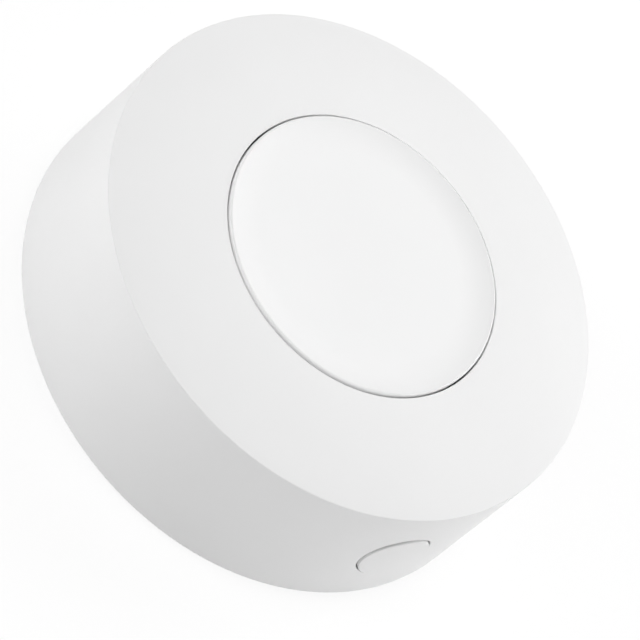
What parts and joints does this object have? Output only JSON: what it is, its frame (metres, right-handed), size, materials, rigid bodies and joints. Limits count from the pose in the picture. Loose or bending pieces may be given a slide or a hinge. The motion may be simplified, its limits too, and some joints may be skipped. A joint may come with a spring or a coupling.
{
  "type": "smart button",
  "caption": "Round wireless push button with a domed bezel, dished push cap, small side key and a twist-lock rear plate with foam tape.",
  "frame": {"origin": "centre of the rear face of the foam tape, which sticks to the wall", "axes": "+Z out of the front along the push axis, -Y towards the side key"},
  "size_m": [0.04, 0.0401, 0.0142],
  "materials": {
    "shell": "moulded, very fine matt texture",
    "cap": "moulded, very fine matt texture",
    "key": "moulded, matt",
    "plate": "moulded, matt",
    "frame_plastic": "moulded, grey",
    "tape": "foam tape",
    "foam": "open foam",
    "seal_rubber": "smooth",
    "silicone": "soft translucent silicone",
    "board": "glass-fibre board with green solder mask",
    "copper": "copper under gold flash",
    "steel": "nickel plated",
    "spring_metal": "plated phosphor bronze",
    "black_plastic": "moulded, black",
    "ceramic": "ceramic",
    "lamp": "clear resin"
  },
  "bodies": {
    "base": {"base_plate": "plate", "adhesive_pad": "tape", "base_seal": "seal_rubber", "battery_foam_pad": "foam"},
    "housing": {"front_housing": "shell", "coin_cell": "steel", "chassis": "frame_plastic", "chassis_screws": "steel", "circuit_board": "board", "main_switch_body": "black_plastic", "main_switch_cover": "steel", "main_switch_dome": "steel", "main_switch_terminals": "steel", "side_switch_body": "black_plastic", "side_switch_cover": "steel", "side_switch_dome": "steel", "side_switch_terminals": "steel", "radio_chip": "black_plastic", "crystal": "steel", "capacitors": "ceramic", "resistors": "black_plastic", "status_led": "lamp", "antenna_trace": "copper", "battery_contact_positive": "spring_metal", "battery_contact_negative": "spring_metal", "return_ring": "silicone"},
    "button": {"button_cap": "cap"},
    "main_plunger": {"main_switch_plunger": "black_plastic"},
    "key": {"pairing_key": "key"},
    "side_plunger": {"side_switch_plunger": "black_plastic"}
  },
  "joints": [
    {"name": "housing_twist", "type": "hinge", "parent": "base", "child": "housing", "pos_m": [0, 0, 0], "axis": [0, 0, 1], "range_deg": [0, 20]},
    {"name": "button_press", "type": "slide", "parent": "housing", "child": "button", "axis": [0, 0, -1], "range_m": [0, 0.0003], "stiffness_N_per_m": 6000, "deforming": ["return_ring", "main_switch_dome"]},
    {"name": "main_plunger_slide", "type": "slide", "parent": "housing", "child": "main_plunger", "axis": [0, 0, -1], "range_m": [0, 0.0003]},
    {"name": "key_press", "type": "slide", "parent": "housing", "child": "key", "axis": [0, 1, 0], "range_m": [0, 0.00025], "stiffness_N_per_m": 6000, "deforming": ["side_switch_dome"]},
    {"name": "side_plunger_slide", "type": "slide", "parent": "housing", "child": "side_plunger", "axis": [0, 1, 0], "range_m": [0, 0.00025]}
  ],
  "couplings": [
    {"joint": "main_plunger_slide", "follows": "button_press", "ratio": 1},
    {"joint": "side_plunger_slide", "follows": "key_press", "ratio": 1}
  ]
}
